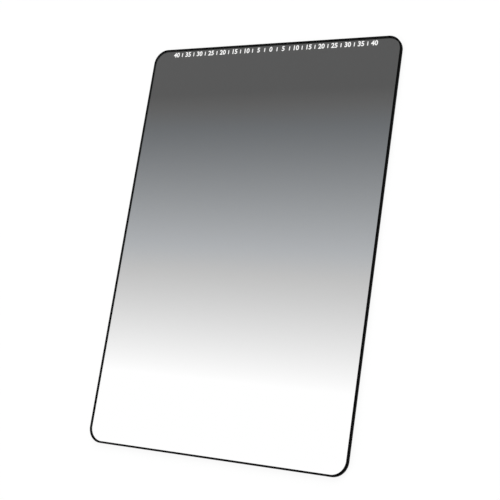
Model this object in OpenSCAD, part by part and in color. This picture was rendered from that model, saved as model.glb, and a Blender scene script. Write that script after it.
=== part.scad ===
// Graduated neutral density filter: one plate of optical glass that slides into the slots
// of a filter holder in front of a lens. Its outline has rounded corners. Its edge is
// ground flat, chamfered along both polished faces and blackened all the way round. The
// grey tint fades along the plate, from none at the clear end to full at the dark end.
// The plate lies on its back face, with the dark end towards +Y and the front face up.

/* [Plate] */
// Width across the two long edges, which the slots of a holder guide
plate_width = 100; // [60:1:180]
// Length from the clear end to the dark end
plate_length = 150; // [100:1:200]
// Thickness of the glass, from one polished face to the other
plate_thickness = 2; // [1.1:0.1:5]
// Radius of the outline at its four corners
corner_radius = 5.4; // [1:0.1:20]

/* [Ground edge] */
// Width of the 45 degree chamfer between the edge and each polished face
edge_chamfer = 0.45; // [0.1:0.05:0.5]

/* [Graded tint] */
// Length of glass without tint, measured from the clear end
clear_length = 27; // [0:1:40]
// Length of glass with the full, even tint, measured from the dark end
dark_length = 20; // [0:1:40]
// Number of bands of colour that draw the fade between those two
fade_bands = 24; // [2:1:48]

/* [Hidden] */
$fn = 96;

quarter_turn = 90;

// The centres of the corners, and the corner radius of the polished faces.
half_width = plate_width / 2;
half_length = plate_length / 2;
corner_x = half_width - corner_radius;
corner_y = half_length - corner_radius;
face_radius = corner_radius - edge_chamfer;

// The fade runs between these two places along Y.
fade_start = clear_length - half_length;
fade_end = half_length - dark_length;
fade_step = (fade_end - fade_start) / fade_bands;

// Colours of the plate as it looks on white paper.
edge_black = [0.04, 0.04, 0.045];
clear_glass = [1, 1, 1];
dark_glass = [0.345, 0.345, 0.35];

// Colour of the glass where the fade has gone from 0, clear, to 1, full tint.
function tint(fade) = clear_glass + (dark_glass - clear_glass) * fade;

// Where the lower side of a band of the fade lies along Y.
function band_start(band) = fade_start + band * fade_step;

// Section of the ground edge, outside the polished faces: the flat and its two chamfers.
module edge_section(reach) {
    polygon([
        [reach - edge_chamfer, 0],
        [reach, edge_chamfer],
        [reach, plate_thickness - edge_chamfer],
        [reach - edge_chamfer, plate_thickness]
    ]);
}

// The section drawn out into a straight stretch of edge, with its flat towards +X.
module edge_stretch(reach, length) {
    rotate([quarter_turn, 0, 0])
        linear_extrude(height = length, center = true)
            edge_section(reach);
}

// The section turned through one corner, from the +X direction to the +Y direction.
module edge_corner() {
    rotate_extrude(angle = quarter_turn)
        edge_section(corner_radius);
}

// The ground edge goes along the four sides and round the four corners without a step.
module ground_edge() {
    for (side = [0, 2]) {
        rotate(side * quarter_turn)
            edge_stretch(half_width, 2 * corner_y);
        rotate((side + 1) * quarter_turn)
            edge_stretch(half_length, 2 * corner_x);
    }
    for (turn = [0:3]) {
        x = (turn == 0 || turn == 3) ? corner_x : -corner_x;
        y = (turn < 2) ? corner_y : -corner_y;
        translate([x, y])
            rotate(turn * quarter_turn)
                edge_corner();
    }
}

// Outline of the polished faces, which end where the chamfers start.
module face_outline() {
    for (x = [-corner_x, corner_x], y = [-corner_y, corner_y])
        translate([x, y])
            circle(face_radius);
    square([2 * corner_x, 2 * (corner_y + face_radius)], center = true);
    square([2 * (corner_x + face_radius), 2 * corner_y], center = true);
}

// The glass between the polished faces, from one place along Y to the next.
module glass(from, to) {
    linear_extrude(height = plate_thickness)
        intersection() {
            face_outline();
            polygon([[-half_width, from], [half_width, from], [half_width, to], [-half_width, to]]);
        }
}

// One piece of glass: its colours meet face to face and leave no gap or step between them.
module filter_plate() {
    color(edge_black)
        ground_edge();
    color(clear_glass)
        glass(-half_length, fade_start);
    for (band = [0:fade_bands - 1])
        color(tint((band + 0.5) / fade_bands))
            glass(band_start(band), band_start(band + 1));
    color(dark_glass)
        glass(fade_end, half_length);
}

filter_plate();
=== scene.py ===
# %% [markdown]
# # A graduated neutral density filter
#
# The object is one plate of optical glass, 100 x 150 x 2 mm. It slides into the slots of a
# holder in front of a lens and darkens the sky: the grey fades from full at one end to none
# at the other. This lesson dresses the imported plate, which fixes every size and place.
# Everything is in metres, in the frame of that plate: +Y points to the dark end and +Z up.

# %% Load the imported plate
import math

import bmesh
import bpy
from mathutils import Matrix, Vector


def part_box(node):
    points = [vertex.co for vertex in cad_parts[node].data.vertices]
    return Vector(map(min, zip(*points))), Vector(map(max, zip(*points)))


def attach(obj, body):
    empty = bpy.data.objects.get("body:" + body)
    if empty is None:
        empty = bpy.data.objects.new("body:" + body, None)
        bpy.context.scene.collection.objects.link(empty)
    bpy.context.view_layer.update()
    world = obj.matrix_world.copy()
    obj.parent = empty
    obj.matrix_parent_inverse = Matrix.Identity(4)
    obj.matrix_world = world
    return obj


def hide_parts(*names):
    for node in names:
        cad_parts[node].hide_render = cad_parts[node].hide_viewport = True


MM = 0.001
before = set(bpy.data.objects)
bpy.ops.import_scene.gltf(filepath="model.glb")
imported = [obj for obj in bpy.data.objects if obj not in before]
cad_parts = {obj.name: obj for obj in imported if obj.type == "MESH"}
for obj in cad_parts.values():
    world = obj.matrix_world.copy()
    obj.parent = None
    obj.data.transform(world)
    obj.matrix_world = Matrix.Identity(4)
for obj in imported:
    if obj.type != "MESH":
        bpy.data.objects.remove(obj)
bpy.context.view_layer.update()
plate_low, plate_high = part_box("filter_plate")
plate_size = plate_high - plate_low
print("Packed plate in mm:", [round(side / MM, 3) for side in plate_size])

# %% [markdown]
# ## The camera
#
# The plate lies on its back, and the picture shows it from over its long right edge with
# the dark end up. The camera stands about 0.36 m away. Its place and the point it aims at
# are lengths that a person could measure on the table, and the direction that is up in the
# picture turns it about its own axis. The lens is raised a little against the sensor, as on
# a view camera, which moves the plate down in the frame without tilting the camera.

# %% Stand the camera over the plate
CAMERA_PLACE = Vector((174.8, -78.1, 313.8)) * MM
CAMERA_AIM = Vector((5.2, -9.6, 2.0)) * MM
PICTURE_UP = Vector((-0.0431, 0.9706, 0.2368))
LENS_MM = 75.54
LENS_RISE = 0.04
SENSOR_MM = 36.0


def stand_camera():
    """A camera that looks from CAMERA_PLACE to CAMERA_AIM, with PICTURE_UP upright."""
    data = bpy.data.cameras.new("table_camera")
    data.lens = LENS_MM
    data.sensor_width = SENSOR_MM
    data.shift_y = LENS_RISE
    camera = bpy.data.objects.new("table_camera", data)
    bpy.context.scene.collection.objects.link(camera)
    backwards = (CAMERA_PLACE - CAMERA_AIM).normalized()
    right = PICTURE_UP.cross(backwards).normalized()
    upright = backwards.cross(right)
    turn = Matrix((right, upright, backwards)).transposed()
    camera.matrix_world = Matrix.Translation(CAMERA_PLACE) @ turn.to_4x4()
    bpy.context.scene.camera = camera


stand_camera()
print("Camera to plate in mm:", round((CAMERA_PLACE - CAMERA_AIM).length / MM, 1))

# %% [markdown]
# ## The outline of the glass
#
# A filter is cut from sheet glass, and a wheel then grinds its edge while it turns, so the
# corners are true arcs. A list of points from a loop over the four corners gives the same
# outline at any distance inside the edge. Every ring of the mesh then has the same number
# of points, and neighbouring rings join without a twist.

# %% Draw the rounded outline at any inset
CORNER_RADIUS = 5.4 * MM
CORNER_STEPS = 24
QUARTER_TURN = math.radians(90)


def outline(inset, end_inset=0.0):
    """Points round the plate, anticlockwise from +X, this far inside its edge.

    At the two short ends they are end_inset further inside.
    """
    radius = CORNER_RADIUS - inset
    reach_x = plate_size.x / 2 - CORNER_RADIUS
    reach_y = plate_size.y / 2 - CORNER_RADIUS - end_inset
    points = []
    for corner, (side_x, side_y) in enumerate(((1, 1), (-1, 1), (-1, -1), (1, -1))):
        for step in range(CORNER_STEPS + 1):
            angle = QUARTER_TURN * (corner + step / CORNER_STEPS)
            x = side_x * reach_x + radius * math.cos(angle)
            y = side_y * reach_y + radius * math.sin(angle)
            points.append((x, y))
    return points


print("Points in each ring:", len(outline(0)))

# %% [markdown]
# ## The section of the ground edge
#
# The edge is flat, with a 45 degree chamfer along each polished face so that it doesn't
# chip. The wheel leaves no knife edge between them, so each meeting line is eased by a few
# hundredths of a millimetre. A bevel modifier could do that. Short curves in the section do
# it with fewer points, and the radius stays the same all the way round.

# %% Draw the section, from the back face round to the front face
CHAMFER = 0.45 * MM
EASED = 0.06 * MM
EASING_STEPS = 3


def eased(path):
    """The path with its inner corners cut back by EASED and rounded."""
    rounded = [path[0]]
    for before, corner, after in zip(path, path[1:], path[2:]):
        start = corner + (before - corner).normalized() * EASED
        end = corner + (after - corner).normalized() * EASED
        for step in range(EASING_STEPS + 1):
            share = step / EASING_STEPS
            rounded.append(start.lerp(corner, share).lerp(corner.lerp(end, share), share))
    return rounded + [path[-1]]


def edge_section():
    """Pairs of inset and height, starting and ending just inside the polished faces."""
    thickness = plate_size.z
    path = [
        Vector((CHAMFER + 2 * EASED, 0)),
        Vector((CHAMFER, 0)),
        Vector((0, CHAMFER)),
        Vector((0, thickness - CHAMFER)),
        Vector((CHAMFER, thickness)),
        Vector((CHAMFER + 2 * EASED, thickness)),
    ]
    return eased(path)[1:-1]


print("Rings in the edge:", len(edge_section()))

# %% [markdown]
# ## The plate as one closed mesh
#
# The rings are stacked by height and joined with strips of four-sided faces, and one large
# face closes each end of the stack. The large faces are polished glass. Everything between
# them was ground and blackened, so it takes the second material. The lacquer also laps a
# hair's breadth over both polished faces, and a little more at the short ends, where the
# black line is as bold as along the sides. The faces of the strips are shaded smooth, and
# weighted normals keep the wide ones flat.

# %% Build the plate
GLASS_SLOT = 0
EDGE_SLOT = 1
LACQUER_LAP = 0.03 * MM
END_LAP = 0.15 * MM


def add_ring(mesh, inset, height, end_inset=0.0):
    """One ring of vertices of the outline at this inset and height."""
    z = plate_low.z + height
    return [mesh.verts.new((x, y, z)) for x, y in outline(inset, end_inset)]


def join_rings(mesh, lower, upper):
    """A strip of smooth faces between two rings of the edge."""
    count = len(lower)
    for i in range(count):
        j = (i + 1) % count
        face = mesh.faces.new((lower[i], lower[j], upper[j], upper[i]))
        face.material_index = EDGE_SLOT
        face.smooth = True


def build_plate():
    """The glass plate: two polished faces and the ground edge between them."""
    mesh = bmesh.new()
    section = edge_section()
    rings = [add_ring(mesh, inset, height) for inset, height in section]
    lap_inset = section[0].x + LACQUER_LAP
    back_lap = add_ring(mesh, lap_inset, section[0].y, END_LAP)
    front_lap = add_ring(mesh, lap_inset, section[-1].y, END_LAP)
    rings = [back_lap, *rings, front_lap]
    for lower, upper in zip(rings, rings[1:]):
        join_rings(mesh, lower, upper)
    for ring in (list(reversed(rings[0])), rings[-1]):
        face = mesh.faces.new(ring)
        face.material_index = GLASS_SLOT
    data = bpy.data.meshes.new("graded_plate")
    mesh.to_mesh(data)
    mesh.free()
    plate = bpy.data.objects.new("graded_plate", data)
    bpy.context.scene.collection.objects.link(plate)
    normals = plate.modifiers.new("flat_sides", "WEIGHTED_NORMAL")
    normals.keep_sharp = True
    return plate


plate = build_plate()
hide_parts("filter_plate")
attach(plate, "root")
print("Faces in the plate:", len(plate.data.polygons))

# %% [markdown]
# ## Helpers for materials
#
# Each finish is a small tree of nodes. A maker of materials writes the same few steps again
# and again: a new material with its surface shader, a node with its settings, a step of
# arithmetic. Naming those steps keeps the recipes below short.

# %% Name the steps of a material recipe
def new_material(name):
    """A material, its node tree and the Principled shader in it."""
    material = bpy.data.materials.new(name)
    material.use_nodes = True
    tree = material.node_tree
    return material, tree, tree.nodes["Principled BSDF"]


def add_node(tree, kind, **settings):
    """A node of this kind with its settings."""
    node = tree.nodes.new("ShaderNode" + kind)
    for setting, value in settings.items():
        setattr(node, setting, value)
    return node


def feed(tree, source, socket):
    """Puts a value or another node's output into a socket."""
    if isinstance(source, bpy.types.NodeSocket):
        tree.links.new(source, socket)
    else:
        socket.default_value = source


def calculate(tree, operation, first, second):
    """The result of one step of arithmetic on two values."""
    node = add_node(tree, "Math", operation=operation)
    feed(tree, first, node.inputs[0])
    feed(tree, second, node.inputs[1])
    return node.outputs[0]


def share_between(tree, value, start, end, smooth=False):
    """How far a value has come from start to end, held between 0 and 1."""
    node = add_node(tree, "MapRange", clamp=True)
    if smooth:
        node.interpolation_type = "SMOOTHSTEP"
    feed(tree, value, node.inputs["Value"])
    feed(tree, start, node.inputs["From Min"])
    feed(tree, end, node.inputs["From Max"])
    return node.outputs["Result"]


# %% [markdown]
# ## The graded glass
#
# The grey is a film of metal, put on the glass in a vacuum while a mask moves along it. It
# is even over the dark end, then thins out to nothing. To the eye the fade is nearly even,
# so it is worked out as an even fall in brightness on a screen and then turned into the
# share of light that gets through. Half-strength film looks slightly cool: it lets a little
# less red and a little more blue through.
#
# The shader is clear glass whose colour is that share. Light is tinted once on its way in
# and once on its way out, and the two together make the full tint. The coating against
# reflections takes seven in eight parts of the mirror image away, so it is a dim tint on
# what the surface mirrors head-on.

# %% Mix the graded glass
CLEAR_GLASS_ENDS = plate_low.y + 26.5 * MM
FULL_TINT_STARTS = plate_high.y - 18.5 * MM
FADE_BEND = 0.955
FULL_TINT = 0.6675
COOL_SHIFT = 0.011
COOL_STARTS = (0.34, 0.46)
COOL_ENDS = (0.85, 0.97)
GLASS_IOR = 1.52
COATED_MIRROR = (0.13, 0.14, 0.14, 1.0)
SCREEN_FOOT = 0.055
SCREEN_SPAN = 1.055
SCREEN_POWER = 2.4


def screen_to_light(tree, brightness):
    """The share of light that a screen brightness from 0 to 1 stands for."""
    raised = calculate(tree, "ADD", brightness, SCREEN_FOOT)
    scaled = calculate(tree, "DIVIDE", raised, SCREEN_SPAN)
    return calculate(tree, "POWER", scaled, SCREEN_POWER)


def mix_graded_glass():
    """Coated glass whose grey follows the length of the plate."""
    material, tree, shader = new_material("graded_glass")
    place = add_node(tree, "TexCoord").outputs["Object"]
    split = add_node(tree, "SeparateXYZ")
    feed(tree, place, split.inputs[0])
    fade = share_between(tree, split.outputs["Y"], CLEAR_GLASS_ENDS, FULL_TINT_STARTS)
    bent = calculate(tree, "POWER", fade, FADE_BEND)
    loss = calculate(tree, "MULTIPLY", bent, FULL_TINT)
    grey = calculate(tree, "SUBTRACT", 1.0, loss)
    cool_in = share_between(tree, fade, *COOL_STARTS, smooth=True)
    cool_out = share_between(tree, fade, *COOL_ENDS, smooth=True)
    cool = calculate(tree, "SUBTRACT", cool_in, cool_out)
    shift = calculate(tree, "MULTIPLY", cool, COOL_SHIFT)
    colour = add_node(tree, "CombineColor")
    red = calculate(tree, "SUBTRACT", grey, shift)
    blue = calculate(tree, "ADD", grey, shift)
    for channel, brightness in zip(("Red", "Green", "Blue"), (red, grey, blue)):
        feed(tree, screen_to_light(tree, brightness), colour.inputs[channel])
    feed(tree, colour.outputs["Color"], shader.inputs["Base Color"])
    shader.inputs["Transmission Weight"].default_value = 1.0
    shader.inputs["Roughness"].default_value = 0.0
    shader.inputs["IOR"].default_value = GLASS_IOR
    shader.inputs["Specular Tint"].default_value = COATED_MIRROR
    return material


plate.data.materials.append(mix_graded_glass())
print("Tint fades over mm:", round((FULL_TINT_STARTS - CLEAR_GLASS_ENDS) / MM, 1))

# %% [markdown]
# ## Paint that isn't quite even
#
# The black lacquer and the white enamel are both thin paints, whose shade and height vary a
# little together. One noise drives both: a Mix node blends a thick and a thin shade, and a
# Bump node shades the surface as if it rose and fell. The Mix node gives its sockets for
# numbers, vectors and colours the same names, so its colours are reached by number.

# %% Make a noise and a paint that follows it
MIX_FIRST_COLOUR = 6
MIX_SECOND_COLOUR = 7
MIX_RESULT_COLOUR = 2


def add_noise(tree, place, detail, scale=1.0):
    """Noise from 0 to 1 that varies with place."""
    node = add_node(tree, "TexNoise")
    feed(tree, place, node.inputs["Vector"])
    feed(tree, scale, node.inputs["Scale"])
    feed(tree, detail, node.inputs["Detail"])
    return node.outputs["Fac"]


def paint_unevenly(tree, shader, noise, thick, thin, relief):
    """Colour and height that follow one noise. The relief is a strength and a depth."""
    colour = add_node(tree, "Mix", data_type="RGBA")
    feed(tree, noise, colour.inputs["Factor"])
    feed(tree, thick, colour.inputs[MIX_FIRST_COLOUR])
    feed(tree, thin, colour.inputs[MIX_SECOND_COLOUR])
    feed(tree, colour.outputs[MIX_RESULT_COLOUR], shader.inputs["Base Color"])
    bump = add_node(tree, "Bump")
    feed(tree, noise, bump.inputs["Height"])
    feed(tree, relief[0], bump.inputs["Strength"])
    feed(tree, relief[1], bump.inputs["Distance"])
    feed(tree, bump.outputs["Normal"], shader.inputs["Normal"])


# %% [markdown]
# ## The blackened edge
#
# The ground edge is painted black so that no light runs in from the side and veils the
# picture. The lacquer is thin and nearly matt, and it follows the lines that the wheel left,
# which run along the edge. A noise that is stretched along the plate and changes fast across
# its thickness gives such lines on all four sides at once: as height, as a slightly lighter
# black and as a change in gloss.

# %% Mix the black lacquer
LACQUER_BLACK = (0.0015, 0.0015, 0.0015, 1.0)
LACQUER_WORN = (0.004, 0.004, 0.004, 1.0)
LINES_ALONG = 60.0
LINES_ACROSS = 9000.0
LINES_DETAIL = 6.0
LINES_RELIEF = (0.35, 0.01 * MM)
LACQUER_ROUGHNESS = (0.38, 0.56)
LACQUER_SHINE = 0.012


def mix_black_lacquer():
    """Nearly matt black lacquer over lines left by grinding."""
    material, tree, shader = new_material("edge_black")
    stretch = add_node(tree, "Mapping", vector_type="POINT")
    feed(tree, add_node(tree, "TexCoord").outputs["Object"], stretch.inputs["Vector"])
    feed(tree, (LINES_ALONG, LINES_ALONG, LINES_ACROSS), stretch.inputs["Scale"])
    lines = add_noise(tree, stretch.outputs["Vector"], LINES_DETAIL)
    paint_unevenly(tree, shader, lines, LACQUER_BLACK, LACQUER_WORN, LINES_RELIEF)
    gloss = add_node(tree, "MapRange")
    feed(tree, lines, gloss.inputs["Value"])
    gloss.inputs["To Min"].default_value, gloss.inputs["To Max"].default_value = LACQUER_ROUGHNESS
    feed(tree, gloss.outputs["Result"], shader.inputs["Roughness"])
    shader.inputs["Specular IOR Level"].default_value = LACQUER_SHINE
    return material


plate.data.materials.append(mix_black_lacquer())
print("Grinding lines to a mm across the edge:", LINES_ACROSS * MM)

# %% [markdown]
# ## The printed scale
#
# A fine line of white print runs along the dark end, close to the edge. Here it is a plain
# scale in millimetres from the middle of the plate, which helps to centre it: a bold number
# every five millimetres and a stroke halfway between neighbours. The print is enamel, a
# hundredth of a millimetre thick. Numbers come from a text curve that is turned into a mesh,
# and strokes are small blocks. Both reach a little way into the glass, so that no light
# gets in under them.

# %% Make one number and one stroke
SCALE_LINE = plate_high.y - 2.7 * MM
NUMBER_HEIGHT = 1.8 * MM
NUMBER_WEIGHT = 0.065 * MM
DIGIT_SHARE = 0.72
DIGIT_CURVE_STEPS = 4
STROKE_WIDTH = 0.34 * MM
STROKE_HEIGHT = 1.5 * MM
PRINT_PROUD = 0.012 * MM
PRINT_BEDDED = 0.004 * MM


def print_level():
    """Heights of the underside and the top of the print."""
    return plate_high.z - PRINT_BEDDED, plate_high.z + PRINT_PROUD


def add_stroke(mesh, x):
    """One upright stroke of the scale, centred on its line."""
    bottom, top = print_level()
    size = Vector((STROKE_WIDTH, STROKE_HEIGHT, top - bottom))
    centre = Vector((x, SCALE_LINE, (bottom + top) / 2))
    block = Matrix.Translation(centre) @ Matrix.Diagonal(size).to_4x4()
    bmesh.ops.create_cube(mesh, size=1.0, matrix=block)


def number_curve(number):
    """Text of one number, whose font size gives its digits NUMBER_HEIGHT."""
    bottom, top = print_level()
    text = bpy.data.curves.new("number", "FONT")
    text.body = str(number)
    text.align_x = "CENTER"
    text.align_y = "CENTER"
    text.size = NUMBER_HEIGHT / DIGIT_SHARE
    text.offset = NUMBER_WEIGHT
    text.extrude = (top - bottom) / 2
    text.resolution_u = DIGIT_CURVE_STEPS
    return text


def add_number(mesh, x, number):
    """A number of the scale as a thin solid, centred on x and on the scale's line."""
    bottom, top = print_level()
    holder = bpy.data.objects.new("number", number_curve(number))
    bpy.context.scene.collection.objects.link(holder)
    bpy.context.view_layer.update()
    finished = holder.evaluated_get(bpy.context.evaluated_depsgraph_get())
    solid = bpy.data.meshes.new_from_object(finished)
    solid.transform(Matrix.Translation((x, SCALE_LINE, (bottom + top) / 2)))
    mesh.from_mesh(solid)
    bpy.data.objects.remove(holder)
    bpy.data.meshes.remove(solid)


print("Print stands proud by mm:", round((print_level()[1] - plate_high.z) / MM, 3))

# %% [markdown]
# ## The scale as one piece
#
# A loop from one end of the scale to the other sets down the numbers and strokes. A text
# curve gives its digits faces that share no points, so points in the same place are welded.
# Where a digit has three points in one line, the text fills it with triangles of no area.
# Turning the edges of its flat faces clears them, and then every face is turned outwards.

# %% Lay out the scale
SCALE_REACH = 40
NUMBER_EVERY = 5
WELD = 0.0001 * MM


def build_scale():
    """The whole line of print as one piece."""
    mesh = bmesh.new()
    for place in range(-SCALE_REACH, SCALE_REACH + 1, NUMBER_EVERY):
        add_number(mesh, place * MM, abs(place))
        if place < SCALE_REACH:
            add_stroke(mesh, (place + NUMBER_EVERY / 2) * MM)
    bmesh.ops.remove_doubles(mesh, verts=mesh.verts, dist=WELD)
    bmesh.ops.beautify_fill(mesh, faces=mesh.faces, edges=mesh.edges, method="ANGLE")
    bmesh.ops.recalc_face_normals(mesh, faces=mesh.faces)
    data = bpy.data.meshes.new("printed_scale")
    mesh.to_mesh(data)
    mesh.free()
    scale = bpy.data.objects.new("printed_scale", data)
    bpy.context.scene.collection.objects.link(scale)
    return scale


scale = build_scale()
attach(scale, "root")
print("Faces in the print:", len(scale.data.polygons))

# %% [markdown]
# ## The white enamel
#
# Screen-printed enamel is opaque, nearly matt, and slightly uneven where the mesh of the
# screen let more or less of it through. A fine noise varies its brightness and its height.

# %% Mix the white enamel
ENAMEL_WHITE = (0.93, 0.93, 0.92, 1.0)
ENAMEL_THIN = (0.80, 0.80, 0.80, 1.0)
ENAMEL_ROUGHNESS = 0.55
GRAIN_SCALE = 6000.0
GRAIN_DETAIL = 3.0
GRAIN_RELIEF = (0.2, 0.004 * MM)


def mix_white_enamel():
    """Opaque white enamel with the fine grain of a printing screen."""
    material, tree, shader = new_material("white_print")
    place = add_node(tree, "TexCoord").outputs["Object"]
    grain = add_noise(tree, place, GRAIN_DETAIL, GRAIN_SCALE)
    paint_unevenly(tree, shader, grain, ENAMEL_WHITE, ENAMEL_THIN, GRAIN_RELIEF)
    shader.inputs["Roughness"].default_value = ENAMEL_ROUGHNESS
    return material


scale.data.materials.append(mix_white_enamel())
print("Grains of the screen to a mm:", GRAIN_SCALE * MM)

# %% [markdown]
# ## The table and the light
#
# The picture has a pure white ground. The table is white paint that takes the soft shadow
# of the plate. What the camera and mirrors see of it is mostly an even white glow, so the
# ground comes out white without more light on the plate. Away from the plate, where no
# shadow falls, the glow is all there is. Through the glass only the glow is seen too, so
# that the glass shows its own tint and nothing else.

# %% Lay the white table
TABLE_SIDE = 6.0
TABLE_GAP = 0.05 * MM
TABLE_GLOW = 0.88
GLOW_GROWS = (0.10, 0.30)
TABLE_WHITE = (0.95, 0.95, 0.95, 1.0)


def mix_table_white():
    """White paint that glows for the camera, for mirrors and through glass."""
    material = bpy.data.materials.new("table_white")
    material.use_nodes = True
    tree = material.node_tree
    tree.nodes.clear()
    paint = add_node(tree, "BsdfDiffuse")
    paint.inputs["Color"].default_value = TABLE_WHITE
    glow = add_node(tree, "Emission")
    away = add_node(tree, "VectorMath", operation="LENGTH")
    feed(tree, add_node(tree, "TexCoord").outputs["Object"], away.inputs["Vector"])
    growth = share_between(tree, away.outputs["Value"], *GLOW_GROWS, smooth=True)
    extra = calculate(tree, "MULTIPLY", growth, 1.0 - TABLE_GLOW)
    strength = calculate(tree, "ADD", extra, TABLE_GLOW)
    path = add_node(tree, "LightPath")
    seen = calculate(tree, "MAXIMUM", path.outputs["Is Camera Ray"], path.outputs["Is Glossy Ray"])
    part = calculate(tree, "MULTIPLY", seen, strength)
    share = calculate(tree, "MAXIMUM", part, path.outputs["Is Transmission Ray"])
    blend = add_node(tree, "MixShader")
    feed(tree, share, blend.inputs[0])
    feed(tree, paint.outputs[0], blend.inputs[1])
    feed(tree, glow.outputs[0], blend.inputs[2])
    output = add_node(tree, "OutputMaterial")
    feed(tree, blend.outputs[0], output.inputs["Surface"])
    return material


def lay_table():
    """A wide square just under the plate."""
    mesh = bmesh.new()
    bmesh.ops.create_grid(mesh, x_segments=1, y_segments=1, size=TABLE_SIDE / 2)
    data = bpy.data.meshes.new("table")
    mesh.to_mesh(data)
    mesh.free()
    table = bpy.data.objects.new("table", data)
    table.location.z = plate_low.z - TABLE_GAP
    bpy.context.scene.collection.objects.link(table)
    data.materials.append(mix_table_white())


lay_table()
print("Table side in m:", TABLE_SIDE, "and gap under the plate in mm:", round(TABLE_GAP / MM, 2))

# %% [markdown]
# ## Lamps and surroundings
#
# Polished plates are photographed in a tent of white cloth, so that the glass mirrors plain
# white and no lamp. Here the room is that tent, and the two large soft lamps are left out of
# mirror images. Together they light a white sheet to just about white.

# %% Hang the lamps and paint the room
ROOM_LIGHT = 0.6
LAMPS = {
    "key_lamp": (Vector((0.25, 0.85, 0.80)), 0.9, 9.2),
    "fill_lamp": (Vector((-0.65, -0.75, 0.80)), 1.0, 5.2),
}


def hang_lamp(name, place, side, watts):
    """A square lamp that faces the plate."""
    data = bpy.data.lights.new(name, "AREA")
    data.shape = "SQUARE"
    data.size = side
    data.energy = watts
    lamp = bpy.data.objects.new(name, data)
    lamp.visible_glossy = False
    turn = place.to_track_quat("Z", "Y").to_matrix()
    lamp.matrix_world = Matrix.Translation(place) @ turn.to_4x4()
    bpy.context.scene.collection.objects.link(lamp)


def paint_room():
    """Surroundings that are white to look at and light the plate at a plain level."""
    world = bpy.data.worlds.new("pale_room")
    bpy.context.scene.world = world
    world.use_nodes = True
    tree = world.node_tree
    tree.nodes.clear()
    light = add_node(tree, "Background")
    light.inputs["Color"].default_value = (1.0, 1.0, 1.0, 1.0)
    path = add_node(tree, "LightPath")
    seen = calculate(tree, "MAXIMUM", path.outputs["Is Camera Ray"], path.outputs["Is Glossy Ray"])
    seen = calculate(tree, "MAXIMUM", seen, path.outputs["Is Transmission Ray"])
    strength = calculate(tree, "MAXIMUM", seen, ROOM_LIGHT)
    feed(tree, strength, light.inputs["Strength"])
    output = add_node(tree, "OutputWorld")
    feed(tree, light.outputs[0], output.inputs["Surface"])


for lamp_name, (lamp_place, lamp_side, lamp_watts) in LAMPS.items():
    hang_lamp(lamp_name, lamp_place, lamp_side, lamp_watts)
paint_room()
bpy.context.scene.view_settings.view_transform = "Standard"
print("Lamps round the plate:", len(LAMPS))
